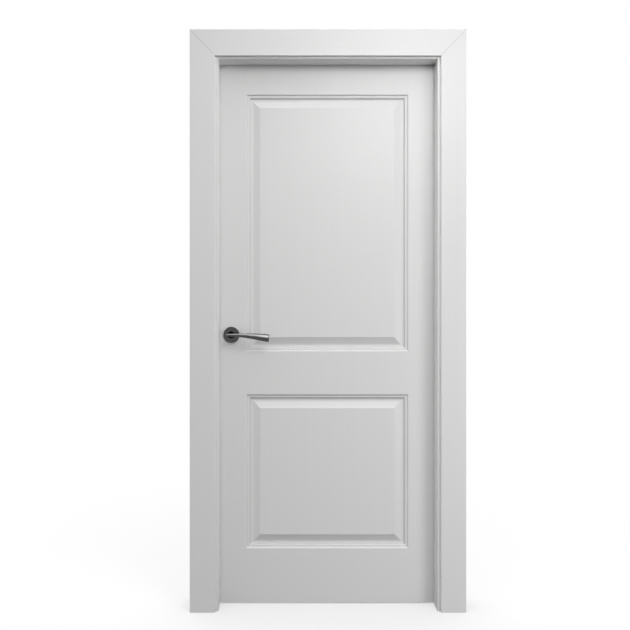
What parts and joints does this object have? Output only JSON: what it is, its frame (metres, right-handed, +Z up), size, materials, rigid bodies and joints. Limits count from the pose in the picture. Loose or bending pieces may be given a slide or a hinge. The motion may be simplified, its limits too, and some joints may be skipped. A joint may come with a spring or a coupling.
{
  "type": "interior door with frame",
  "caption": "White two-panel interior door leaf hung on lift-off hinges in a rebated frame with mitred flat casings, worked by a sprung lever handle on round roses.",
  "frame": {"origin": "on the wall-side face of the hinge jamb, at its foot on the floor, in the middle of the jamb's depth", "axes": "+X out of the hinge jamb's wall-side face, +Y towards the side that the leaf opens to, +Z up"},
  "size_m": [1.0365, 0.1587, 2.14],
  "materials": {
    "white_frame_lacquer": "satin white lacquer on timber fibre board",
    "white_leaf_lacquer": "satin white lacquer over fine upright grain",
    "raw_timber": "plain sawn softwood",
    "dark_chrome": "polished dark chrome plate",
    "hinge_steel": "satin nickel plated steel",
    "lock_steel": "brushed steel"
  },
  "bodies": {
    "frame": {"hinge_jamb": "white_frame_lacquer", "latch_jamb": "white_frame_lacquer", "head_jamb": "white_frame_lacquer", "front_casing_hinge_side": "white_frame_lacquer", "front_casing_latch_side": "white_frame_lacquer", "front_casing_head": "white_frame_lacquer", "back_casing_hinge_side": "white_frame_lacquer", "back_casing_latch_side": "white_frame_lacquer", "back_casing_head": "white_frame_lacquer", "strike_plate": "lock_steel", "upper_hinge_frame_half": "hinge_steel", "middle_hinge_frame_half": "hinge_steel", "lower_hinge_frame_half": "hinge_steel"},
    "leaf": {"front_skin": "white_leaf_lacquer", "back_skin": "white_leaf_lacquer", "hinge_stile": "white_leaf_lacquer", "latch_stile": "white_leaf_lacquer", "lock_block": "raw_timber", "top_rail": "white_leaf_lacquer", "bottom_rail": "white_leaf_lacquer", "mortise_lock": "lock_steel", "latch_bolt": "lock_steel", "front_rose": "dark_chrome", "back_rose": "dark_chrome", "upper_hinge_leaf_half": "hinge_steel", "middle_hinge_leaf_half": "hinge_steel", "lower_hinge_leaf_half": "hinge_steel"},
    "handle": {"front_lever": "dark_chrome", "back_lever": "dark_chrome", "spindle": "lock_steel"}
  },
  "joints": [
    {"name": "door_swing", "type": "hinge", "parent": "frame", "child": "leaf", "pos_m": [-0.0205, 0.056, 1.03], "axis": [0, 0, -1], "range_deg": [0, 175]},
    {"name": "lever_turn", "type": "hinge", "parent": "leaf", "child": "handle", "pos_m": [-0.795, 0.03, 1.011], "axis": [0, 1, 0], "range_deg": [0, 40], "stiffness_Nm_per_rad": 1.2, "springref_deg": -28.65}
  ]
}
